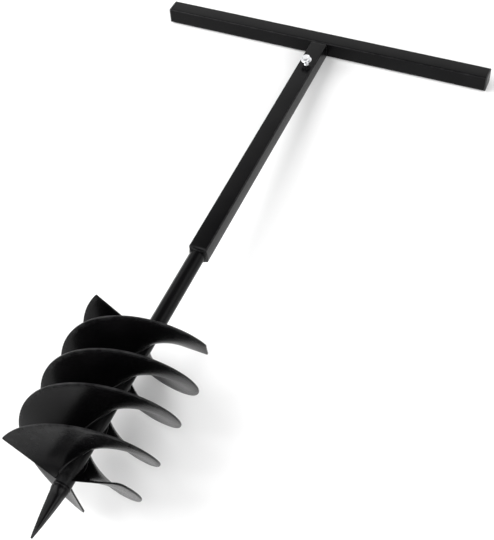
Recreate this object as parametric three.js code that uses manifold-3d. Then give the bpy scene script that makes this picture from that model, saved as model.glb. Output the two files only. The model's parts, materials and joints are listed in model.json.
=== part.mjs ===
// Hand-turned soil auger: three spiral flights on a round shaft, a square stem and a T-handle.
// Millimetres. The auger's own frame has X along the handle bar, Z from the spike's tip to the
// handle and -Y to the side that carries the clamp screw. The last lines lay it on the floor.
import * as THREE from "three";
import { ConvexGeometry } from "three/addons/geometries/ConvexGeometry.js";
import { mergeVertices } from "three/addons/utils/BufferGeometryUtils.js";
import Module from "manifold-3d";

const wasm = await Module();
wasm.setup();
const { Manifold, Mesh: SolidMesh } = wasm;

// ---- driving dimensions, from the tip to the handle ----
const spikeLength = 75; // tip to the end of the round shaft
const spikeTipWidth = 3;
const spikeTipBlunt = 1.2; // height over which the tip is rounded off
const spikeSquare = 18.8; // side of the forged square where it is fully square
const spikeNeck = 4; // round part next to the shaft
const spikeShoulder = 16; // from the shaft to the fully square section
const spigotLength = 25; // the spike's plug inside the shaft
const spigotTaper = 0.8; // how much the plug's radius narrows
const flightDiameter = 200; // the hole it digs
const flightLead = 178; // rise of one flight in one full turn
const flightTurns = 1.377; // below the height that all three reach
const flightThickness = 3;
const flightDish = 3.3; // the rim sits this much nearer the handle than the root
const flightRiseSpan = 100; // degrees above its bottom end over which a flight rises off its spiral
const flightSetback = 5.9; // from the spike to the flights' bottom ends
const bareShaft = 167; // from the flights' top ends to the stem
const shaftWall = 3;
const shaftInStem = 80; // how far the shaft runs up inside the stem
const stemSize = 30; // square tube
const stemWall = 2;
const stemLength = 521.7;
const tubeCorner = 3; // outer corner radius of the square tubes
const stubWall = 2;
const stubLength = 200; // inner tube of the handle, which slides in the stem
const barSize = 30;
const barWall = 2;
const barLength = 616; // over its caps
const capPlate = 2.6;
const capPlug = 18;
const capPlugWall = 2;
const screwDiameter = 8;
const screwBelowStemTop = 63.7;
const screwHeadFlats = 13;
const screwHeadHeight = 5.1;
const screwFlange = 19;
const screwFlangeThickness = 1.8;
const screwFlangeTaper = 0.6; // how much the flange's radius narrows towards the head
const screwStandoff = 10; // from the stem's face to the screw's flange

// The flights are cut and welded on by hand, so no two are alike. Each reaches the common height at
// its own angle about Z and runs on past it (degrees). Its outer corners are rounded, and one is also
// trimmed straight, from trimAlong down the rim to trimIn in from it. rise lifts its bottom end.
const flightPlates = {
  a: { angle: -9, runOn: 13.5, topCorner: 2, trimAlong: 41, trimIn: 11, bottomCorner: 2, rise: 0 },
  b: { angle: 106, runOn: 0, topCorner: 9, trimAlong: 0, trimIn: 0, bottomCorner: 9, rise: 5 },
  c: { angle: 221, runOn: -2, topCorner: 2, trimAlong: 0, trimIn: 0, bottomCorner: 9, rise: 5 },
};

// ---- clearances and weld sizes ----
const gap = 0.3; // between pieces that touch or are welded
const slip = 0.5; // each side of the shaft and of the stub inside the stem
const screwRunning = 0.3; // radial, screw in the stem's wall
const bead = 4; // legs of the fillet on each side of a flight's root
const beadSetback = 4; // a bead stops this short of the flight's ends
const mouthBead = 2; // fillet between the stub and the bar
const mouthBeadFoot = 0.5; // its thickness at the bottom
const collarBead = 4.5; // height of the fillet between the stem's mouth and the shaft
const collarInset = 1; // the fillet starts this far in from the stem's faces
const collarFoot = 0.6; // its thickness at the bottom
const ringBead = 2; // how far the weld between spike and shaft stands out
const ringBeadHalf = 2.7; // half of its width

// ---- what follows from them ----
const turn = 2 * Math.PI;
const shaftR = stemSize / 2 - stemWall - slip;
const stubSize = stemSize - 2 * (stemWall + slip);
const rootR = shaftR + gap;
const rimR = flightDiameter / 2;
const degree = turn / 360;
const flightAngle = flightTurns * turn;
const flightTopZ = spikeLength + flightSetback + flightTurns * flightLead; // common height, at the root
const stemBottomZ = flightTopZ + bareShaft;
const stemTopZ = stemBottomZ + stemLength;
const barBottomZ = stemTopZ + gap + mouthBead;
const barCentreZ = barBottomZ + barSize / 2;
const screwZ = stemTopZ - screwBelowStemTop;

// ---- solid helpers ----
const roundSides = 40;

function toSolid(geometry) {
  const g = geometry.clone();
  g.deleteAttribute("normal");
  g.deleteAttribute("uv");
  const m = mergeVertices(g, 1e-4);
  return new Manifold(
    new SolidMesh({
      numProp: 3,
      vertProperties: new Float32Array(m.attributes.position.array),
      triVerts: new Uint32Array(m.index.array),
    }),
  );
}

function toGeometry(solid) {
  const m = solid.getMesh();
  const positions = new Float32Array(m.numVert * 3);
  for (let i = 0; i < m.numVert; i++)
    positions.set(m.vertProperties.subarray(i * m.numProp, i * m.numProp + 3), i * 3);
  const g = new THREE.BufferGeometry();
  g.setAttribute("position", new THREE.BufferAttribute(positions, 3));
  g.setIndex(new THREE.BufferAttribute(m.triVerts, 1));
  const flat = g.toNonIndexed();
  flat.computeVertexNormals();
  return flat;
}

const join = (...geometries) => toGeometry(geometries.map(toSolid).reduce((a, b) => a.add(b)));
const cut = (geometry, tool) => toGeometry(toSolid(geometry).subtract(toSolid(tool)));

// A closed body from rings of points: each ring is one section, and the sections follow a path.
function loft(rings) {
  const n = rings[0].length;
  const index = [];
  for (let i = 0; i + 1 < rings.length; i++)
    for (let k = 0; k < n; k++) {
      const a = i * n + k;
      const b = i * n + ((k + 1) % n);
      index.push(a, b, b + n, a, b + n, a + n);
    }
  const last = (rings.length - 1) * n;
  const outline = rings[0].map(([x, y, z]) => new THREE.Vector2(Math.hypot(x, y), z));
  for (const [p, q, r] of THREE.ShapeUtils.triangulateShape(outline, [])) {
    index.push(r, q, p);
    index.push(last + p, last + q, last + r);
  }
  const g = new THREE.BufferGeometry();
  g.setAttribute("position", new THREE.Float32BufferAttribute(rings.flat(2), 3));
  g.setIndex(index);
  return g;
}

function roundedSquare(size, radius, target = new THREE.Shape()) {
  const inner = size / 2 - radius;
  target.absarc(inner, -inner, radius, -Math.PI / 2, 0);
  target.absarc(inner, inner, radius, 0, Math.PI / 2);
  target.absarc(-inner, inner, radius, Math.PI / 2, Math.PI);
  target.absarc(-inner, -inner, radius, Math.PI, 1.5 * Math.PI);
  return target;
}

// A square tube (or a solid bar, when wall is 0) from z = 0 up to length.
function squareTube(size, wall, radius, length) {
  const leastInnerRadius = 0.8;
  const shape = roundedSquare(size, radius);
  if (wall > 0)
    shape.holes.push(
      roundedSquare(size - 2 * wall, Math.max(radius - wall, leastInnerRadius), new THREE.Path()),
    );
  return new THREE.ExtrudeGeometry(shape, { depth: length, bevelEnabled: false, curveSegments: 3 });
}

// A ring or a tube about Z from a closed profile of [radius, z] points.
function lathe(profile) {
  const points = [...profile, profile[0]].map(([r, z]) => new THREE.Vector2(r, z));
  return new THREE.LatheGeometry(points, roundSides).rotateX(Math.PI / 2);
}

// A round bar about Z from z = bottom up, with its own radius at each end.
function roundBar(bottomR, topR, bottom, height, sides = roundSides) {
  return new THREE.CylinderGeometry(topR, bottomR, height, sides)
    .rotateX(Math.PI / 2)
    .translate(0, 0, bottom + height / 2);
}

function circle(radius, z) {
  return Array.from({ length: roundSides }, (_, i) => {
    const a = (turn * i) / roundSides;
    return new THREE.Vector3(radius * Math.cos(a), radius * Math.sin(a), z);
  });
}

// The corners of a square at height z, each cut back by chamfer.
function square(half, z, chamfer = 0) {
  const along = half - chamfer;
  const corners = [];
  for (const x of [-1, 1])
    for (const y of [-1, 1]) {
      corners.push(new THREE.Vector3(x * half, y * along, z));
      if (chamfer > 0) corners.push(new THREE.Vector3(x * along, y * half, z));
    }
  return corners;
}

// ---- flights and their root welds ----
const stepAngle = 6 * degree;

// Angles are counted down from the common height: a flight goes from -runOn to flightAngle.
function steps(from, to) {
  const count = Math.round((to - from) / stepAngle);
  return Array.from({ length: count + 1 }, (_, i) => from + ((to - from) * i) / count);
}

// A flight's own stations are closer together where its corners are rounded.
function flightStations(plate) {
  const shares = [0, 0.07, 0.25, 0.55];
  const top = -plate.runOn * degree;
  const near = shares.map((share) => top + (share * plate.topCorner) / rimR);
  const far = shares.map((share) => flightAngle - (share * plate.bottomCorner) / rimR).reverse();
  const first = top + plate.topCorner / rimR;
  const last = flightAngle - plate.bottomCorner / rimR;
  return [...near, ...steps(first, last), ...far];
}

// How far a rounded corner takes the edge in, at a distance from the end along the rim.
function rounding(corner, toEnd) {
  const run = Math.max(corner - toEnd, 0);
  return corner - Math.sqrt(Math.max(corner ** 2 - run ** 2, 0));
}

function rimAt(plate, angle) {
  const fromTop = angle + plate.runOn * degree;
  const trimAngle = plate.trimAlong / rimR;
  let edge = rimR;
  if (fromTop < trimAngle) {
    const nearEnd = Math.sin(trimAngle - fromTop) / (rimR - plate.trimIn);
    edge = Math.sin(trimAngle) / (nearEnd + Math.sin(fromTop) / rimR);
  }
  const top = rounding(plate.topCorner, fromTop * rimR);
  const bottom = rounding(plate.bottomCorner, (flightAngle - angle) * rimR);
  return edge - top - bottom;
}

function pointAt(plate, angle, radius, offset) {
  const a = plate.angle * degree - angle;
  const dish = (flightDish * (radius - rootR)) / (rimR - rootR);
  const span = flightRiseSpan * degree;
  const lift = plate.rise * THREE.MathUtils.smoothstep(angle, flightAngle - span, flightAngle);
  const z = flightTopZ - (angle / turn) * flightLead + dish + lift + offset;
  return [radius * Math.cos(a), radius * Math.sin(a), z];
}

function flight(plate) {
  const half = flightThickness / 2;
  const rings = flightStations(plate).map((angle) => {
    const radii = [rootR, rootR + bead, (rootR + bead + rimR) / 2, rimAt(plate, angle)];
    const under = radii.map((r) => pointAt(plate, angle, r, -half));
    const over = radii.map((r) => pointAt(plate, angle, r, half)).reverse();
    return [...under, ...over];
  });
  return loft(rings);
}

// side is 1 for the bead on the handle side of the flight and -1 for the one on the tip side.
function rootBead(plate, side) {
  const face = side * (flightThickness / 2 + gap);
  const setback = beadSetback / rootR;
  const first = setback - plate.runOn * degree;
  const rings = steps(first, flightAngle - setback).map((angle) => {
    const corner = pointAt(plate, angle, rootR, face);
    const onFlight = pointAt(plate, angle, rootR + bead, face);
    const onShaft = pointAt(plate, angle, rootR, face + side * bead);
    return side > 0 ? [corner, onFlight, onShaft] : [corner, onShaft, onFlight];
  });
  return loft(rings);
}

// ---- shaft and spike ----
function shaftTube() {
  const bottom = spikeLength + gap;
  const top = stemBottomZ + shaftInStem;
  return lathe([
    [shaftR - shaftWall, bottom],
    [shaftR, bottom],
    [shaftR, top],
    [shaftR - shaftWall, top],
  ]);
}

// Forged from round at the shaft to a square point, with a spigot up inside the shaft.
function spike() {
  const point = new ConvexGeometry([
    ...circle(shaftR, spikeLength),
    ...circle(shaftR, spikeLength - spikeNeck),
    ...square(spikeSquare / 2, spikeLength - spikeShoulder),
    ...square(spikeTipWidth / 2, spikeTipBlunt),
    ...square(spikeTipWidth / 2 - spikeTipBlunt / 2, 0),
  ]);
  const spigotR = shaftR - shaftWall - gap;
  const sunk = 1; // the spigot starts inside the point, so that the two join
  const height = spigotLength + sunk;
  return join(point, roundBar(spigotR, spigotR - spigotTaper, spikeLength - sunk, height));
}

function spikeWeld() {
  const arc = Array.from({ length: 7 }, (_, i) => {
    const a = (i / 6 - 0.5) * Math.PI;
    const r = shaftR + gap + (ringBead - gap) * Math.cos(a);
    return [r, spikeLength + gap / 2 + ringBeadHalf * Math.sin(a)];
  });
  return lathe(arc);
}

// ---- stem ----
// Fillet that closes the stem's square mouth round the shaft.
function collarWeld() {
  const top = stemBottomZ - gap;
  const half = stemSize / 2 - collarInset;
  const fillet = new ConvexGeometry([
    ...square(half, top, tubeCorner - collarInset + gap),
    ...circle(shaftR + gap + collarFoot, top - collarBead),
  ]);
  const boreR = shaftR + gap;
  return cut(fillet, roundBar(boreR, boreR, top - 2 * collarBead, 3 * collarBead));
}

function stemTube() {
  const tube = squareTube(stemSize, stemWall, tubeCorner, stemLength).translate(0, 0, stemBottomZ);
  const r = screwDiameter / 2 + screwRunning;
  const through = 2 * stemWall;
  const hole = roundBar(r, r, -through, 2 * through)
    .rotateX(Math.PI / 2)
    .translate(0, -stemSize / 2, screwZ);
  return cut(tube, hole);
}

// ---- handle ----
function handleBar() {
  const length = barLength - 2 * (capPlate + gap);
  return squareTube(barSize, barWall, tubeCorner, length)
    .translate(0, 0, -length / 2)
    .rotateY(Math.PI / 2);
}

function barCap() {
  const plate = squareTube(barSize, 0, tubeCorner, capPlate);
  const plugSize = barSize - 2 * (barWall + gap);
  const sunk = capPlate / 2; // the plug starts inside the plate, so that the two join
  const plug = squareTube(plugSize, capPlugWall, tubeCorner - barWall + gap, capPlug + sunk);
  return join(plate, plug.translate(0, 0, -capPlug)).rotateY(Math.PI / 2);
}

function handleStub() {
  const cornerRadius = Math.max(tubeCorner - slip, stubWall);
  return squareTube(stubSize, stubWall, cornerRadius, stubLength).translate(
    0,
    0,
    barBottomZ - gap - stubLength,
  );
}

function stubWeld() {
  const top = barBottomZ - gap;
  const bottom = stemTopZ + gap;
  const inner = stubSize / 2 + gap;
  const fillet = new ConvexGeometry([
    ...square(inner + mouthBead - gap, top),
    ...square(inner + mouthBeadFoot, bottom + gap),
  ]);
  const clear = 4 * mouthBead;
  const opening = new THREE.BoxGeometry(2 * inner, 2 * inner, clear).translate(0, 0, top);
  return cut(fillet, opening);
}

// ---- clamp screw ----
// Along +Z here, tip at z = 0; it is turned to point its head out of the stem's screw side.
const screwTipY = stubSize / 2 + gap;
function clampScrew() {
  const r = screwDiameter / 2;
  const sunk = 0.5; // each piece starts inside the one below, so that they join
  const flangeBase = stemSize / 2 + screwStandoff - screwTipY;
  const headBase = flangeBase + screwFlangeThickness;
  const flangeR = screwFlange / 2;
  const cornerR = screwHeadFlats / Math.sqrt(3);
  return join(
    roundBar(r, r, 0, flangeBase + sunk),
    roundBar(flangeR, flangeR - screwFlangeTaper, flangeBase, screwFlangeThickness),
    roundBar(cornerR, cornerR, headBase - sunk, screwHeadHeight + sunk, 6),
  );
}

// ---- materials ----
const blackPaint = new THREE.MeshStandardMaterial({ color: 0x16171a, roughness: 0.38, metalness: 0.1 });
const blackBead = new THREE.MeshStandardMaterial({ color: 0x1a1b1e, roughness: 0.5, metalness: 0.1 });
const blackPlastic = new THREE.MeshStandardMaterial({ color: 0x101113, roughness: 0.55, metalness: 0 });
const zincPlate = new THREE.MeshStandardMaterial({ color: 0xc9ccd0, roughness: 0.3, metalness: 1 });

function mesh(name, geometry, material) {
  const m = new THREE.Mesh(geometry, material);
  m.name = name;
  return m;
}

// ---- assembly in the auger's own frame ----
const auger = new THREE.Group();

auger.add(mesh("stem_tube", stemTube(), blackPaint));
auger.add(mesh("stem_collar_weld", collarWeld(), blackBead));
auger.add(mesh("shaft_tube", shaftTube(), blackPaint));
auger.add(mesh("spike", spike(), blackPaint));
auger.add(mesh("spike_weld", spikeWeld(), blackBead));

const flights = Object.entries(flightPlates).map(([letter, plate]) => {
  const name = "flight_" + letter;
  const spiral = mesh(name, flight(plate), blackPaint);
  auger.add(spiral);
  auger.add(mesh(name + "_weld_tip_side", rootBead(plate, -1), blackBead));
  auger.add(mesh(name + "_weld_handle_side", rootBead(plate, 1), blackBead));
  return spiral;
});

const handle = new THREE.Group();
const bar = mesh("handle_bar", handleBar(), blackPaint);
bar.position.z = barCentreZ;
handle.add(bar);
for (const [name, side] of [
  ["bar_cap_right", 1],
  ["bar_cap_left", -1],
]) {
  const cap = mesh(name, barCap(), blackPlastic);
  cap.position.set(side * (barLength / 2 - capPlate), 0, barCentreZ);
  if (side < 0) cap.rotation.z = Math.PI;
  handle.add(cap);
}
handle.add(mesh("handle_stub", handleStub(), blackPaint));
handle.add(mesh("stub_weld", stubWeld(), blackBead));
auger.add(handle);

const screw = mesh("clamp_screw", clampScrew(), zincPlate);
screw.position.set(0, -screwTipY, screwZ);
screw.rotation.x = Math.PI / 2;
auger.add(screw);

// ---- lay it on the floor ----
// It rests on the rim of its highest flight and on the handle bar's far edge, screw side up.
function lowest(object, tilt) {
  auger.rotation.x = -(Math.PI / 2 + tilt);
  auger.position.set(0, 0, 0);
  auger.updateMatrixWorld(true);
  return new THREE.Box3().setFromObject(object, true).min.z;
}

let low = 0;
let high = Math.PI / 8;
for (let halving = 0; halving < 40; halving++) {
  const tilt = (low + high) / 2;
  const rim = Math.min(...flights.map((o) => lowest(o, tilt)));
  if (rim < lowest(bar, tilt)) low = tilt;
  else high = tilt;
}
lowest(auger, (low + high) / 2);
const box = new THREE.Box3().setFromObject(auger, true);
auger.position.set(-(box.min.x + box.max.x) / 2, -(box.min.y + box.max.y) / 2, -box.min.z);

const part = new THREE.Group();
part.name = "soil_auger";
part.add(auger);

export default part;
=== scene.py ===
"""A soil auger lying on a pale floor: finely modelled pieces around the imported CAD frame. Metres.

Every piece is made in the auger's own frame (X along the handle bar, Z from the spike's tip to the
handle, -Y to the side of the clamp screw) and then laid down.
"""

import json
import math

import bmesh
import bpy
from mathutils import Matrix, Quaternion, Vector, noise


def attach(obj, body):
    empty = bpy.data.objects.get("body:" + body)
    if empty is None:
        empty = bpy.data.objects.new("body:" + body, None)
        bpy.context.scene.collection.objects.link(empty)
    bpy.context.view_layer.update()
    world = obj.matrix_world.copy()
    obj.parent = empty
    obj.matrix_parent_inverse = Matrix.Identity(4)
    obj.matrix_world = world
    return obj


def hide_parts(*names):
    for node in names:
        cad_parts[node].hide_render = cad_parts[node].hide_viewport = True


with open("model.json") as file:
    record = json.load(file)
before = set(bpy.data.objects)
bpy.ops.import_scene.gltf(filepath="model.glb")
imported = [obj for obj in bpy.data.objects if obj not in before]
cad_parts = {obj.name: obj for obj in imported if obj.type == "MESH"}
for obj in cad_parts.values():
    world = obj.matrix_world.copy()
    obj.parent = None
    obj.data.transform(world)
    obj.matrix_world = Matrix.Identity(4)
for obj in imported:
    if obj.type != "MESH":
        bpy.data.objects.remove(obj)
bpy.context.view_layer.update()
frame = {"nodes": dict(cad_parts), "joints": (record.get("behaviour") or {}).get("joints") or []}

MM = 0.001
TURN = 2 * math.pi

# ---- the auger's own frame, read from the joints and the solids ----
JOINTS = {joint["name"]: joint for joint in frame["joints"]}
ALONG = Vector(JOINTS["handle_slide"]["axis"]).normalized()
FRONT = Vector(JOINTS["screw_turn"]["axis"]).normalized()
RIGHT = ALONG.cross(FRONT)


def middle(node, direction):
    along = [v.co.dot(direction) for v in frame["nodes"][node].data.vertices]
    return (min(along) + max(along)) / 2


def auger_matrix():
    tip = min(v.co.dot(ALONG) for v in frame["nodes"]["spike"].data.vertices)
    origin = RIGHT * middle("shaft_tube", RIGHT) + FRONT * middle("shaft_tube", FRONT) + ALONG * tip
    turned = Matrix((RIGHT, -FRONT, ALONG)).transposed().to_4x4()
    return Matrix.Translation(origin) @ turned


AUGER = auger_matrix()
TO_AUGER = AUGER.inverted()


def local_points(node):
    return [TO_AUGER @ v.co for v in frame["nodes"][node].data.vertices]


def local_box(node):
    """Lowest and highest corner of a CAD node in the auger's own frame."""
    points = local_points(node)
    low = Vector([min(p[i] for p in points) for i in range(3)])
    high = Vector([max(p[i] for p in points) for i in range(3)])
    return low, high


# ---- mesh helpers: a shape is (points, faces) ----
def skin(rings, loop=False, ladder=False):
    """Joins rings of points, each closed on itself. The last ring meets the first if loop is set;
    otherwise both ends are capped, in crosswise strips if ladder is set."""
    n = len(rings[0])
    count = len(rings)
    faces = []
    for i in range(count if loop else count - 1):
        a, b = i * n, ((i + 1) % count) * n
        faces += [(a + k, a + (k + 1) % n, b + (k + 1) % n, b + k) for k in range(n)]
    if not loop:
        for start in (0, (count - 1) * n):
            if ladder:
                faces += [
                    (start + k, start + k + 1, start + n - 2 - k, start + n - 1 - k)
                    for k in range(n // 2 - 1)
                ]
            else:
                faces.append(tuple(range(start, start + n)))
    return [p for ring in rings for p in ring], faces


def moved(shape, matrix):
    points, faces = shape
    return [matrix @ Vector(p) for p in points], faces


def mesh_from(name, shape):
    """A mesh from one closed shape, its faces turned outwards."""
    points, faces = shape
    bm = bmesh.new()
    made = [bm.verts.new(p) for p in points]
    for face in faces:
        bm.faces.new([made[i] for i in face])
    bmesh.ops.recalc_face_normals(bm, faces=bm.faces)
    mesh = bpy.data.meshes.new(name)
    bm.to_mesh(mesh)
    bm.free()
    return mesh


def in_scene(name, data):
    made = bpy.data.objects.new(name, data)
    bpy.context.scene.collection.objects.link(made)
    return made


def piece(name, shape, material, body, nodes, wear=None, sharp=40):
    """One object from a closed shape."""
    finished(name, mesh_from(name, shape), material, body, nodes, wear, sharp)


def finished(name, mesh, material, body, nodes, wear=None, sharp=40):
    """Makes a mesh the object that stands for its CAD nodes and rides their body.

    wear gives a point's share of edge wear; edges that turn by more than sharp degrees stay crisp.
    """
    mesh.shade_smooth()
    mesh.set_sharp_from_angle(angle=math.radians(sharp))
    if wear:
        layer = mesh.attributes.new("wear", "FLOAT", "POINT")
        layer.data.foreach_set("value", [wear(v.co) for v in mesh.vertices])
    mesh.materials.clear()
    mesh.materials.append(material)
    mesh.transform(AUGER)
    made = in_scene(name, mesh)
    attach(made, body)
    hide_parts(*nodes)


def smooth(x, low=0.0, high=1.0):
    t = min(max((x - low) / (high - low), 0.0), 1.0)
    return t * t * (3 - 2 * t)


def square_outline(half, radius, segments=8):
    """A rounded square's points, anticlockwise seen from +Z."""
    inner = half - radius
    points = []
    for corner in range(4):
        cx = inner if corner in (0, 3) else -inner
        cy = inner if corner in (0, 1) else -inner
        for i in range(segments + 1):
            a = (corner + i / segments) * TURN / 4
            points.append((cx + radius * math.cos(a), cy + radius * math.sin(a)))
    return points


# ---- materials ----
class Paint:
    """A node material: add() makes a node, and its inputs take values or other nodes' outputs."""

    def __init__(self, name, **uniform):
        self.material = bpy.data.materials.new(name)
        self.material.use_nodes = True
        self.tree = self.material.node_tree
        self.shader = self.tree.nodes["Principled BSDF"]
        for socket, value in uniform.items():
            self.shader.inputs[socket.replace("_", " ")].default_value = value
        self.place = self.add("TexCoord").outputs["Object"]

    def add(self, kind, inputs=None, **settings):
        made = self.tree.nodes.new("ShaderNode" + kind)
        for key, value in settings.items():
            setattr(made, key, value)
        for key, value in (inputs or {}).items():
            self.put(made.inputs[key], value)
        return made

    def put(self, socket, value):
        if isinstance(value, bpy.types.NodeSocket):
            self.tree.links.new(value, socket)
        else:
            socket.default_value = value

    def drive(self, socket, value):
        """Links a value to one of the shader's inputs."""
        self.put(self.shader.inputs[socket], value)

    def noise(self, size, detail=2.0, roughness=0.5):
        """Noise whose features are about size metres across."""
        inputs = {"Vector": self.place, "Scale": 1 / size, "Detail": detail, "Roughness": roughness}
        return self.add("TexNoise", inputs).outputs["Fac"]

    def between(self, factor, low, high, from_low=0.0, from_high=1.0):
        inputs = {"Value": factor, "From Min": from_low, "From Max": from_high}
        inputs |= {"To Min": low, "To Max": high}
        return self.add("MapRange", inputs).outputs["Result"]

    def math(self, operation, a, b):
        return self.add("Math", {0: a, 1: b}, operation=operation).outputs["Value"]

    def mix(self, factor, a, b):
        made = self.add("Mix", data_type="RGBA")
        self.put(made.inputs["Factor"], factor)
        self.put(made.inputs[6], a)
        self.put(made.inputs[7], b)
        return made.outputs[2]

    def bump(self, height, distance, before=None, strength=1.0):
        inputs = {"Height": height, "Distance": distance, "Strength": strength}
        if before is not None:
            inputs["Normal"] = before
        return self.add("Bump", inputs).outputs["Normal"]


RUBBED_COAT = (0.034, 0.034, 0.035, 1)
DUST = (0.030, 0.029, 0.028, 1)


def powder_coat(name, peel=6e-6, base_roughness=0.24, tone=1.0):
    """Black powder coat: blotchy tone, orange peel, fine dust, and edges where the coat is thin."""
    paint = Paint(name, IOR=1.45, Specular_IOR_Level=0.12)
    blotches = paint.noise(60 * MM, detail=4)
    dark = (0.0014 * tone, 0.0014 * tone, 0.0016 * tone, 1)
    light = (0.0030 * tone, 0.0029 * tone, 0.0032 * tone, 1)
    colour = paint.mix(paint.between(blotches, 0, 1, 0.35, 0.65), dark, light)

    thin = paint.add("Attribute", attribute_name="wear").outputs["Fac"]
    patches = paint.between(paint.noise(14 * MM, detail=5, roughness=0.6), 0.25, 1, 0.38, 0.66)
    rubbed = paint.math("MULTIPLY", thin, patches)
    colour = paint.mix(rubbed, colour, RUBBED_COAT)

    specks = paint.between(paint.noise(1.1 * MM, detail=1), 0, 0.3, 0.75, 0.81)
    colour = paint.mix(specks, colour, DUST)
    paint.drive("Base Color", colour)

    smears = paint.between(paint.noise(28 * MM, detail=3), base_roughness - 0.03, base_roughness + 0.05)
    roughness = paint.math("ADD", smears, paint.math("MULTIPLY", rubbed, 0.16))
    paint.drive("Roughness", roughness)

    grain = paint.bump(paint.noise(0.35 * MM, detail=1), peel * 0.25)
    paint.drive("Normal", paint.bump(paint.noise(2.4 * MM, detail=2), peel, grain))
    return paint.material


def moulded_plastic():
    paint = Paint("moulded_plastic", IOR=1.48, Specular_IOR_Level=0.4)
    dark, light = (0.008, 0.008, 0.0085, 1), (0.014, 0.014, 0.0145, 1)
    tone = paint.between(paint.noise(14 * MM, detail=3), 0, 1, 0.35, 0.65)
    paint.drive("Base Color", paint.mix(tone, dark, light))
    paint.drive("Roughness", paint.between(paint.noise(5 * MM), 0.40, 0.52))
    texture = paint.add("TexVoronoi", {"Vector": paint.place, "Scale": 1 / (0.6 * MM)}).outputs["Distance"]
    paint.drive("Normal", paint.bump(texture, 8e-6))
    return paint.material


def zinc_plate():
    paint = Paint("zinc_plate", Metallic=1.0)
    dull, bright = (0.66, 0.67, 0.69, 1), (0.83, 0.84, 0.85, 1)
    tone = paint.between(paint.noise(2.5 * MM, detail=4), 0, 1, 0.35, 0.65)
    paint.drive("Base Color", paint.mix(tone, dull, bright))
    paint.drive("Roughness", paint.between(paint.noise(1.5 * MM, detail=3), 0.24, 0.40))
    paint.drive("Normal", paint.bump(paint.noise(0.5 * MM, detail=2), 6e-6))
    return paint.material


COAT = powder_coat("powder_coat")
WELD_COAT = powder_coat("powder_coat_on_weld", peel=14e-6, base_roughness=0.27, tone=1.15)
PLASTIC = moulded_plastic()
ZINC = zinc_plate()

# ---- tubes ----
END_BEVEL = 0.5 * MM


def square_tube(half, radius, wall, bottom, top, step=60 * MM):
    """A rounded square tube along Z with softened end faces, as one closed shape."""
    inner_radius = max(radius - wall, 0.8 * MM)

    def ring(h, r, z):
        return [(x, y, z) for x, y in square_outline(h, r)]

    count = max(2, round((top - bottom) / step))
    low, high = bottom + END_BEVEL, top - END_BEVEL
    levels = [low + (high - low) * i / count for i in range(count + 1)]
    levels[1:1] = [low + 1 * MM, low + 3 * MM]
    levels[-1:-1] = [high - 3 * MM, high - 1 * MM]
    trimmed = half - END_BEVEL
    bore = half - wall
    outside = [ring(trimmed, radius - END_BEVEL, bottom)]
    outside += [ring(half, radius, z) for z in levels]
    outside += [ring(trimmed, radius - END_BEVEL, top)]
    inside = [ring(bore + END_BEVEL, inner_radius + END_BEVEL, top)]
    inside += [ring(bore, inner_radius, z) for z in reversed(levels)]
    inside += [ring(bore + END_BEVEL, inner_radius + END_BEVEL, bottom)]
    return skin(outside + inside, loop=True)


def corner_wear(half, reach=2.2 * MM, low=None, high=None):
    """Wear along a square tube's long edges, and at its ends where low and high are given."""

    def wear(p):
        to_edge = half * 2 - abs(p.x) - abs(p.y)
        share = 0.5 * (1 - smooth(to_edge, reach * 0.5, reach * 1.3))
        if low is not None:
            share = max(share, 0.7 * (1 - smooth(min(p.z - low, high - p.z), 0.4 * MM, 3 * MM)))
        return share

    return wear


TUBE_CORNER = 3 * MM
WALL = 2 * MM

stem_low, stem_high = local_box("stem_tube")
stem_half = stem_high.x


def stem():
    """The stem's square tube, with the screw's hole cut through its wall."""
    tube = square_tube(stem_half, TUBE_CORNER, WALL, stem_low.z, stem_high.z)
    blank = in_scene("stem_blank", mesh_from("stem_blank", tube))

    bm = bmesh.new()
    placed = Matrix.Translation((0, -stem_half, screw_z)) @ Matrix.Rotation(math.pi / 2, 4, "X")
    size = {"radius1": hole_radius, "radius2": hole_radius, "depth": 4 * WALL}
    bmesh.ops.create_cone(bm, cap_ends=True, segments=64, matrix=placed, **size)
    tool_mesh = bpy.data.meshes.new("hole")
    bm.to_mesh(tool_mesh)
    bm.free()
    tool = in_scene("hole", tool_mesh)

    cut = blank.modifiers.new("hole", "BOOLEAN")
    cut.object = tool
    cut.operation = "DIFFERENCE"
    cut.solver = "EXACT"
    bpy.context.view_layer.update()
    evaluated = blank.evaluated_get(bpy.context.evaluated_depsgraph_get())
    result = bpy.data.meshes.new_from_object(evaluated)
    result.name = "stem"
    for scrap in (blank, tool):
        bpy.data.objects.remove(scrap)
    wear = corner_wear(stem_half, low=stem_low.z, high=stem_high.z)
    finished("stem", result, COAT, "auger", ["stem_tube"], wear)


# ---- the clamp screw, which sets the stem's hole ----
screw_low, screw_high = local_box("clamp_screw")
screw_z = (screw_low.z + screw_high.z) / 2
screw_tip = -screw_high.y
SCREW_R = 4 * MM
HOLE_CLEARANCE = 0.3 * MM
hole_radius = SCREW_R + HOLE_CLEARANCE
THREAD_PITCH = 1.25 * MM
THREAD_DEPTH = 0.72 * MM
HEAD_FLATS = 13 * MM
HEAD_HEIGHT = 5.1 * MM
FLANGE_THICKNESS = 1.8 * MM


def screw_ring(radius_at, height_at, sides=96):
    ring = []
    for k in range(sides):
        a = TURN * k / sides
        r = radius_at(a)
        ring.append((r * math.cos(a), r * math.sin(a), height_at(a, r)))
    return ring


def plain(radius, z):
    return screw_ring(lambda a: radius, lambda a, r: z)


def hexagon(a):
    """Radius of the hexagon in direction a, its corners slightly rounded."""
    off = (a + TURN / 12) % (TURN / 6) - TURN / 12
    across = HEAD_FLATS / 2 / math.cos(TURN / 12 - abs(off))
    return min(across, HEAD_FLATS / math.sqrt(3) * 0.985)


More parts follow.
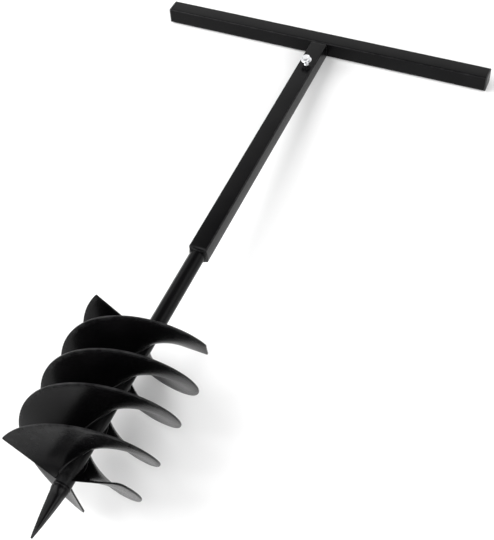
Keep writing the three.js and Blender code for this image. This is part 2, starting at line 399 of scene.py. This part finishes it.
def thread(z, start, end):
    """Radius of the threaded shank at height z, by angle, running out at both ends."""
    depth = THREAD_DEPTH * smooth(z, start, start + THREAD_PITCH) * (1 - smooth(z, end - THREAD_PITCH, end))

    def radius_at(a):
        phase = (z / THREAD_PITCH - a / TURN) % 1
        flank = min(max(abs(2 * phase - 1) * 1.35 - 0.12, 0), 1)
        return SCREW_R - 0.03 * MM - depth * (1 - flank)

    return radius_at


def clamp_screw():
    length = screw_high.y - screw_low.y
    flange_r = (screw_high.x - screw_low.x) / 2
    flange_z = length - HEAD_HEIGHT - FLANGE_THICKNESS
    head_z = flange_z + FLANGE_THICKNESS
    tip_r = SCREW_R - THREAD_DEPTH - 0.3 * MM
    rings = [plain(tip_r * 0.3, 0.0), plain(tip_r, 0.0), plain(tip_r + 0.35 * MM, 0.5 * MM)]
    start, end = 0.9 * MM, flange_z - 1.2 * MM
    steps = round((end - start) / (THREAD_PITCH / 10))
    for i in range(steps + 1):
        z = start + (end - start) * i / steps
        rings.append(screw_ring(thread(z, start, end), lambda a, r, z=z: z))
    edge = 0.55 * MM
    rings += [
        plain(SCREW_R - 0.03 * MM, flange_z - 0.5 * MM),
        plain(SCREW_R + 0.35 * MM, flange_z),
        plain(flange_r - 1.1 * MM, flange_z),
        plain(flange_r - 0.35 * MM, flange_z + 0.1 * MM),
        plain(flange_r, flange_z + 0.4 * MM),
        plain(flange_r, flange_z + 0.75 * MM),
        plain(flange_r - 0.3 * MM, flange_z + 1.05 * MM),
        plain(flange_r - 1.6 * MM, flange_z + 1.35 * MM),
    ]
    top = head_z + HEAD_HEIGHT
    crown = HEAD_FLATS / 2 * 0.97

    def chamfered(a, r):
        return top - max(r - crown, 0) * math.tan(math.radians(32))

    rings += [
        screw_ring(lambda a: hexagon(a) + 0.5 * MM, lambda a, r: head_z - 0.15 * MM),
        screw_ring(hexagon, lambda a, r: head_z + 0.35 * MM),
        screw_ring(hexagon, lambda a, r: chamfered(a, r) - edge * 0.3),
        screw_ring(lambda a: hexagon(a) - 0.12 * MM, chamfered),
        plain(crown - 0.1 * MM, top),
        plain(crown - 0.9 * MM, top),
        plain(crown - 1.3 * MM, top - 0.25 * MM),
        plain(crown * 0.3, top - 0.3 * MM),
    ]
    turned = Matrix.Translation((0, -screw_tip, screw_z)) @ Matrix.Rotation(math.pi / 2, 4, "X")
    shape = moved(skin(rings), turned)
    piece("flange_screw", shape, ZINC, "screw", ["clamp_screw"], sharp=30)


# ---- handle ----
bar_low, bar_high = local_box("handle_bar")
bar_half = bar_high.y
bar_z = (bar_low.z + bar_high.z) / 2
ACROSS = Matrix.Translation((0, 0, bar_z)) @ Matrix.Rotation(math.pi / 2, 4, "Y")


def bar_wear(p):
    """Wear along the bar's long edges; its length lies along X here."""
    to_edge = bar_half * 2 - abs(p.y) - abs(p.z - bar_z)
    return 0.5 * (1 - smooth(to_edge, 1.1 * MM, 2.9 * MM))


def bar():
    tube = moved(square_tube(bar_half, TUBE_CORNER, WALL, bar_low.x, bar_high.x), ACROSS)
    piece("bar", tube, COAT, "handle", ["handle_bar"], bar_wear)


def cap(side, node):
    """A push-in end cap: a plate with a softly domed face, and a hollow plug inside the tube."""
    low, high = local_box(node)
    outer = max(abs(low.x), abs(high.x))
    plate_base = bar_high.x + 0.05 * MM
    dome, soft = 0.45 * MM, 0.9 * MM
    profile = [(0.0, plate_base), (0.0, outer - dome - soft * 0.7)]
    profile += [(0.12 * MM, outer - dome - soft * 0.35), (0.4 * MM, outer - dome - soft * 0.1)]
    profile += [(0.9 * MM, outer - dome * 0.75), (3 * MM, outer - dome * 0.45)]
    profile += [(6 * MM, outer - dome * 0.2), (11 * MM, outer)]

    def ring(inset, z, half=bar_half):
        radius = max(TUBE_CORNER - inset, 0.6 * MM)
        return [(x, y, z) for x, y in square_outline(half - inset, radius)]

    plug_half = bar_half - WALL - 0.2 * MM
    plug_end = min(abs(low.x), abs(high.x))
    plug_wall = 2 * MM
    rings = [ring(plug_wall, plate_base - 2 * MM, plug_half), ring(plug_wall, plug_end, plug_half)]
    rings += [ring(0.9 * MM, plug_end, plug_half), ring(0.0, plug_end + 2.5 * MM, plug_half)]
    rings += [ring(0.0, plate_base, plug_half)]
    rings += [ring(inset, z) for inset, z in profile]
    shape = moved(skin(rings), Matrix.Diagonal((side, 1, side, 1)) @ ACROSS)
    if side < 0:
        shape = moved(shape, Matrix.Translation((0, 0, 2 * bar_z)))
    piece(node.replace("bar_cap", "end_cap"), shape, PLASTIC, "handle", [node])


stub_low, stub_high = local_box("handle_stub")


def stub():
    tube = square_tube(stub_high.x, TUBE_CORNER - 0.5 * MM, WALL, stub_low.z, stub_high.z)
    wear = corner_wear(stub_high.x, reach=3 * MM, low=stub_low.z, high=stub_high.z + 1)
    piece("stub", tube, COAT, "handle", ["handle_stub"], wear)


# ---- weld beads ----
RIPPLE_PITCH = 2.3 * MM
RIPPLE_HEIGHT = 0.26 * MM


def ripple(distance, across, seed):
    """Height of the chevron ripples of a bead, at a distance along it and a share across it (0 to 1)."""
    wander = 0.5 * noise.noise(Vector((distance / (9 * MM), seed, 0.0)))
    phase = (distance / RIPPLE_PITCH + wander - 0.55 * (2 * across - 1) ** 2) % 1
    crest = (1 - phase) ** 1.6 * smooth(phase, 0.0, 0.12)
    return RIPPLE_HEIGHT * crest * math.sin(math.pi * across) ** 0.6


def bead_section(leg_out, leg_up, distance, seed, crown=0.2, points=9):
    """(out, up) points of a fillet's face, from the toe of its out leg to the toe of its up leg."""
    uneven = 1 + 0.10 * noise.noise(Vector((distance / (7 * MM), seed, 3.0)))
    section = []
    for k in range(points):
        v = k / (points - 1)
        swell = crown * leg_up * math.sin(math.pi * v) + ripple(distance, v, seed)
        out = leg_out * uneven * (1 - v) + swell / math.sqrt(2)
        up = leg_up * uneven * v + swell / math.sqrt(2)
        section.append((out, up))
    return section


# ---- shaft, spike and their ring weld ----
shaft_low, shaft_high = local_box("shaft_tube")
SHAFT_R = shaft_high.x
SHAFT_WALL = 3 * MM


def round_ring(radius, z, sides=128):
    angles = [TURN * k / sides for k in range(sides)]
    return [(radius * math.cos(a), radius * math.sin(a), z) for a in angles]


def shaft():
    bevel = 0.6 * MM
    inner = SHAFT_R - SHAFT_WALL
    count = 12
    straight = shaft_high.z - shaft_low.z - 2 * bevel
    levels = [shaft_low.z + bevel + straight * i / count for i in range(count + 1)]
    rings = [round_ring(SHAFT_R - bevel, shaft_low.z)] + [round_ring(SHAFT_R, z) for z in levels]
    rings += [round_ring(SHAFT_R - bevel, shaft_high.z), round_ring(inner, shaft_high.z)]
    rings += [round_ring(inner, shaft_low.z)]
    wear = lambda p: 0.35 * (1 - smooth(p.z - shaft_low.z, 0, 60 * MM))
    piece("shaft", skin(rings, loop=True), COAT, "auger", ["shaft_tube"], wear)


SPIKE_NECK = 4 * MM
SPIKE_SHOULDER = 16 * MM
SPIKE_SQUARE = 18.8 * MM
SPIKE_TIP = 3 * MM
SPIKE_BLUNT = 1.6 * MM
SPIGOT = 25 * MM


def forged(half, power, z, sides=128):
    """A section between round (power 2) and square (a high power), with hammer marks."""
    ring = []
    for k in range(sides):
        a = TURN * k / sides
        c, s = abs(math.cos(a)), abs(math.sin(a))
        r = half / (c**power + s**power) ** (1 / power)
        mark = noise.noise(Vector((math.cos(a) * 1.4, math.sin(a) * 1.4, z / (11 * MM))))
        r += 0.16 * MM * mark * smooth(power, 2, 6) * smooth(half, 1 * MM, 5 * MM)
        ring.append((r * math.cos(a), r * math.sin(a), z))
    return ring


def spike():
    top = shaft_low.z - 0.2 * MM
    shoulder = top - SPIKE_SHOULDER
    blunt_end = ((0.2, 0), (0.55, 0.08), (0.85, 0.38))  # shares of the tip's width and of its height
    rings = [forged(SPIKE_TIP / 2 * wide, 2.6, high * SPIKE_BLUNT) for wide, high in blunt_end]
    steps = 40
    for i in range(steps + 1):
        share = i / steps
        half = SPIKE_TIP / 2 + (SPIKE_SQUARE - SPIKE_TIP) / 2 * share**0.92
        power = 3 + smooth(share, 0, 0.12) - 0.6 * smooth(share, 0.5, 1.0)
        rings.append(forged(half, power, SPIKE_BLUNT + (shoulder - SPIKE_BLUNT) * share))
    for i in range(1, 15):
        share = i / 14
        half = SPIKE_SQUARE / 2 + (SHAFT_R - SPIKE_SQUARE / 2) * smooth(share)
        power = 2 + 1.4 * (1 - smooth(share, 0, 0.8)) ** 1.6
        rings.append(forged(half, power, shoulder + (top - SPIKE_NECK - shoulder) * share))
    spigot_r = SHAFT_R - SHAFT_WALL - 0.2 * MM
    rings += [round_ring(SHAFT_R, top), round_ring(spigot_r, top), round_ring(spigot_r, top + SPIGOT * 0.9)]
    rings += [round_ring(spigot_r - 0.8 * MM, top + SPIGOT)]

    def wear(p):
        on_edge = smooth(min(abs(p.x), abs(p.y)) / max(abs(p.x), abs(p.y), 1e-6), 0.72, 0.93)
        return max(0.75 * on_edge, 1 - smooth(p.z, 2 * MM, 18 * MM)) * (1 - smooth(p.z, 50 * MM, top))

    piece("forged_spike", skin(rings), COAT, "auger", ["spike"], wear)


RING_WELD_SHARE = 0.28  # of the height that the CAD allows it, ground down
RING_WELD_WIDTH = 0.7


def ring_weld():
    low, high = local_box("spike_weld")
    stand = high.x - SHAFT_R
    half = RING_WELD_WIDTH * (high.z - low.z) / 2
    middle_z = (high.z + low.z) / 2
    sides = 288
    rings = []
    for k in range(sides):
        a = TURN * k / sides
        section = []
        for j in range(11):
            v = j / 10
            fall = (v - 0.5) * math.pi
            distance = a * SHAFT_R
            out = stand * RING_WELD_SHARE * math.cos(fall) + 0.4 * ripple(distance, v, 5.0)
            section.append((SHAFT_R + max(out, -0.2 * MM), middle_z + half * math.sin(fall)))
        section += [(SHAFT_R - 0.4 * MM, middle_z + side * half * 0.8) for side in (1, -1)]
        rings.append([(r * math.cos(a), r * math.sin(a), z) for r, z in section])
    piece("spike_ring_weld", skin(rings, loop=True), WELD_COAT, "auger", ["spike_weld"])


def squircle(a, half, power=9.0):
    return half / (abs(math.cos(a)) ** power + abs(math.sin(a)) ** power) ** (1 / power)


def collar_weld():
    """The fillet from the stem's square mouth down to the round shaft."""
    low, high = local_box("stem_collar_weld")
    sides = 320
    rings = []
    for k in range(sides):
        a = TURN * k / sides
        mouth = squircle(a, high.x + 0.2 * MM)
        reach = mouth - SHAFT_R - 0.3 * MM
        section = []
        for out, up in bead_section(reach, high.z - low.z, a * mouth, 11.0, crown=0.16):
            section.append((SHAFT_R + 0.2 * MM + out, high.z + 0.25 * MM - up))
        section += [(SHAFT_R - 0.3 * MM, low.z + 0.4 * MM), (SHAFT_R - 0.3 * MM, high.z + 0.25 * MM)]
        rings.append([(r * math.cos(a), r * math.sin(a), z) for r, z in section])
    piece("collar_weld", skin(rings, loop=True), WELD_COAT, "auger", ["stem_collar_weld"])


def stub_weld():
    """The fillet round the stub, in the corner that it makes with the bar."""
    low, high = local_box("stub_weld")
    reach = high.x - stub_high.x
    rings = []
    sides = 320
    for k in range(sides):
        a = TURN * k / sides
        wall = squircle(a, stub_high.x, 14.0)
        section = []
        for out, up in bead_section(reach * 0.95, (high.z - low.z) * 0.95, a * wall, 17.0, crown=0.1):
            section.append((wall + out, high.z + 0.2 * MM - up))
        section += [(wall - 0.4 * MM, low.z + 0.3 * MM), (wall - 0.4 * MM, high.z + 0.2 * MM)]
        rings.append([(r * math.cos(a), r * math.sin(a), z) for r, z in section])
    piece("handle_weld", skin(rings, loop=True), WELD_COAT, "handle", ["stub_weld"])


# ---- flights ----
WHOLE_TURNS = 1  # a flight goes round once and a part more
EDGE_ROUND = 0.8 * MM
RIM_INSET = 0.15 * MM  # keeps the round rim inside the faceted one
LEAD = 178 * MM
RISE_SPAN = math.radians(100)
NEAR_END = 1.0  # radians over which the sections turn radial, away from an end


class Flight:
    """A flight's measures: read from its CAD node, but for its corners. rise lifts the bottom end."""

    def __init__(self, letter, top_corner, bottom_corner, trim_along=0.0, trim_in=0.0, rise=0.0):
        self.letter = letter
        self.node = "flight_" + letter
        self.top_corner, self.bottom_corner = top_corner, bottom_corner
        self.trim_along, self.trim_in = trim_along, trim_in
        self.rise = rise
        polar = [(math.hypot(p.x, p.y), math.atan2(p.y, p.x), p.z) for p in local_points(self.node)]
        inner = min(r for r, a, z in polar)
        self.outer = max(r for r, a, z in polar)
        at_root = [(z, a) for r, a, z in polar if r < inner + 0.05 * MM]
        at_rim = [(z, a) for r, a, z in polar if r > self.outer - 0.05 * MM]
        top, self.start = max(at_root)
        end = min(at_root)[1]
        self.thickness = top - min(z for z, a in at_root if abs(a - self.start) < 1e-3)
        self.angle = (self.start - end) % TURN + WHOLE_TURNS * TURN
        self.top = top - self.thickness / 2
        rim_z, rim_a = max(at_rim)
        fallen = (self.start - rim_a) % TURN / TURN * LEAD
        self.dish = (rim_z - self.thickness / 2 - self.top + fallen) / (self.outer - inner)
        self.inner = inner
        self.rim = self.outer - RIM_INSET

    def at(self, s, r, lift):
        """The point at angle s down from the top end, at radius r, lifted along the axis."""
        a = self.start - s
        lift += self.rise * smooth(s, self.angle - RISE_SPAN, self.angle)
        z = self.top - s / TURN * LEAD + self.dish * (r - self.inner) + lift
        return Vector((r * math.cos(a), r * math.sin(a), z))

    def stations(self):
        """Sections from an end inwards: (radians, metres). Near an end they run parallel to it."""
        near = [(0.0, share * EDGE_ROUND) for share in (0.0, 0.12, 0.45, 1.0)]
        for run in (1.6, 2.8, 4.4, 6.4, 9, 12, 15.5, 19.5, 24):
            a = (run * MM - EDGE_ROUND) / self.rim
            near.append((a, EDGE_ROUND * (1 - a / NEAR_END)))
        first = near[-1][0]
        half = self.angle / 2
        count = round((half - first) / math.radians(1.5))
        for i in range(1, count + 1):
            a = first + (half - first) * i / count
            near.append((a, EDGE_ROUND * max(0.0, 1 - a / NEAR_END)))
        return near

    def rim_near(self, run, from_bottom):
        """Radius of the rim at a distance from an end: a rounded corner, and at the top a straight trim."""
        rim = self.rim
        corner = self.bottom_corner if from_bottom else self.top_corner
        if not from_bottom and run < self.trim_along:
            whole, angle = self.trim_along / rim, run / rim
            cut_side = math.sin(whole - angle) / (rim - self.trim_in)
            rim = math.sin(whole) / (cut_side + math.sin(angle) / rim)
        if run < corner:
            rim += math.sqrt(corner**2 - (corner - run) ** 2) - corner
        return rim

    def section(self, a, d, from_bottom):
        """One section of the plate: under side from root to rim, then upper side back."""
        thick = self.thickness / 2
        if d < EDGE_ROUND and a == 0.0:
            thick += math.sqrt(EDGE_ROUND**2 - (EDGE_ROUND - d) ** 2) - EDGE_ROUND
        rim = self.rim_near(self.rim * a + d, from_bottom)
        soft = min(EDGE_ROUND, 0.8 * thick)
        root = SHAFT_R - 0.1 * MM
        radii = 12
        half = [(root + (rim - soft - root) * k / radii, thick) for k in range(radii)]
        for k in range(4):
            b = k / 3 * math.pi / 2
            half.append((rim - soft + soft * math.sin(b), thick - soft + soft * math.cos(b)))

        def place(r, lift):
            s = a + d / r
            p = self.at(self.angle - s if from_bottom else s, r, 0.0)
            free = smooth(r, root + 10 * MM, rim)
            buckle = 0.45 * MM * free * noise.noise(Vector((p.x, p.y, p.z)) / (75 * MM))
            return p + Vector((0, 0, lift + buckle))

        under = [place(r, -t) for r, t in half]
        over = [place(r, t) for r, t in reversed(half)]
        return under + over

    def plate(self):
        stations = self.stations()
        rings = [self.section(a, d, False) for a, d in stations]
        rings += [self.section(a, d, True) for a, d in reversed(stations[:-1])]
        return skin(rings, ladder=True)

    def wear(self, p):
        r = math.hypot(p.x, p.y)
        at_rim = 0.7 * smooth(r, self.rim - 1.5 * MM, self.rim - 0.2 * MM)
        low_end = self.top - self.angle / TURN * LEAD
        at_cut = 1 - smooth(p.z, low_end, low_end + 90 * MM)
        return max(at_rim, 0.3 * at_cut * smooth(r, 0.3 * self.rim, self.rim))

    def bead(self, side):
        """The root weld on the handle side (1) or the tip side (-1)."""
        setback, leg = 3.6 * MM, 3.9 * MM
        per_radian = math.hypot(SHAFT_R + leg / 2, LEAD / TURN)
        first = setback / SHAFT_R
        length = (self.angle - 2 * first) * per_radian
        count = round(length / (0.42 * MM))
        face = side * (self.thickness / 2 - 0.08 * MM)
        rings = []
        for i in range(count + 1):
            distance = length * i / count
            s = first + (self.angle - 2 * first) * i / count
            to_end = min(distance, length - distance)
            grown = math.sqrt(max(1 - (1 - min(to_end / leg, 1)) ** 2, 0.02))
            seed = side + 4 * self.start
            corner = self.at(s, SHAFT_R - 0.25 * MM, face - side * 0.2 * MM)
            ring = [corner]
            for out, up in bead_section(leg * grown, leg * grown, distance, seed):
                ring.append(self.at(s, SHAFT_R - 0.05 * MM + out, face + side * up))
            rings.append(ring)
        return skin(rings)


ROUNDED, SHARP = 9 * MM, 2 * MM
FLIGHTS = [
    Flight("a", SHARP, SHARP, trim_along=41 * MM, trim_in=11 * MM),
    Flight("b", ROUNDED, ROUNDED, rise=5 * MM),
    Flight("c", SHARP, ROUNDED, rise=5 * MM),
]


def flights():
    for flight in FLIGHTS:
        name = "flight_plate_" + flight.letter
        piece(name, flight.plate(), COAT, "auger", [flight.node], flight.wear)
        for side, where in ((-1, "tip"), (1, "handle")):
            name = f"root_weld_{flight.letter}_{where}"
            node = f"{flight.node}_weld_{where}_side"
            piece(name, flight.bead(side), WELD_COAT, "auger", [node], sharp=50)


# ---- floor, light and camera ----
PAPER_WHITE = (0.91, 0.91, 0.91, 1)
FLOOR_REACH = 14.0


def floor():
    paint = Paint("floor_paper", Specular_IOR_Level=0.2)
    tone = paint.between(paint.noise(0.4, detail=3), 0, 1, 0.3, 0.7)
    paint.drive("Base Color", paint.mix(tone, (0.88, 0.88, 0.88, 1), PAPER_WHITE))
    paint.drive("Roughness", paint.between(paint.noise(0.05), 0.7, 0.85))
    mesh = bpy.data.meshes.new("floor")
    corners = [(x * FLOOR_REACH, y * FLOOR_REACH, 0) for x, y in ((-1, -1), (1, -1), (1, 1), (-1, 1))]
    mesh.from_pydata(corners, [], [(0, 1, 2, 3)])
    mesh.materials.append(paint.material)
    in_scene("floor", mesh)


def softbox(name, at, size, watts):
    """A square area light that faces the origin."""
    data = bpy.data.lights.new(name, "AREA")
    data.shape = "RECTANGLE"
    data.size, data.size_y = size, size
    data.energy = watts
    made = in_scene(name, data)
    made.location = at
    made.rotation_mode = "QUATERNION"
    made.rotation_quaternion = (-Vector(at)).to_track_quat("-Z", "Y")


# brightness of the room by height (0 at the horizon, 1 overhead): pale low down, dark above
ROOM = ((0.0, 0.6), (0.57, 1.9), (0.70, 0.03))


def studio():
    """A room that is pale low down and dark overhead, and two softboxes."""
    world = bpy.data.worlds.new("studio")
    world.use_nodes = True
    bpy.context.scene.world = world
    tree = world.node_tree
    place = tree.nodes.new("ShaderNodeTexCoord")
    split = tree.nodes.new("ShaderNodeSeparateXYZ")
    ramp = tree.nodes.new("ShaderNodeValToRGB")
    tree.links.new(place.outputs["Generated"], split.inputs["Vector"])
    tree.links.new(split.outputs["Z"], ramp.inputs["Fac"])
    tree.links.new(ramp.outputs["Color"], tree.nodes["Background"].inputs["Color"])
    stops = ramp.color_ramp.elements
    stops[-1].position = ROOM[-1][0]
    stops.new(ROOM[1][0])
    for stop, (_, grey) in zip(stops, ROOM):
        stop.color = (grey, grey, grey, 1)
    softbox("key", (-2.2, -0.7, 2.6), 3.0, 115)
    softbox("fill", (2.0, -1.2, 2.6), 3.0, 75)
    bpy.context.scene.view_settings.view_transform = "Standard"


CAMERA_AT = Vector((0.5098, -0.7236, 1.3373))
LOOKS_AT = Vector((-0.0163, 0.0388, 0.0600))
ROLL = math.radians(-12.83)
SENSOR, LENS = 36, 66.1
SHIFT = (0.0706, -0.0866)


def camera():
    data = bpy.data.cameras.new("camera")
    data.sensor_width, data.lens = SENSOR, LENS
    data.shift_x, data.shift_y = SHIFT
    made = in_scene("camera", data)
    made.location = CAMERA_AT
    made.rotation_mode = "QUATERNION"
    facing = (LOOKS_AT - CAMERA_AT).to_track_quat("-Z", "Y")
    made.rotation_quaternion = facing @ Quaternion((0, 0, 1), ROLL)
    bpy.context.scene.camera = made


stem()
clamp_screw()
bar()
cap(1, "bar_cap_right")
cap(-1, "bar_cap_left")
stub()
stub_weld()
shaft()
spike()
ring_weld()
collar_weld()
flights()
floor()
studio()
camera()
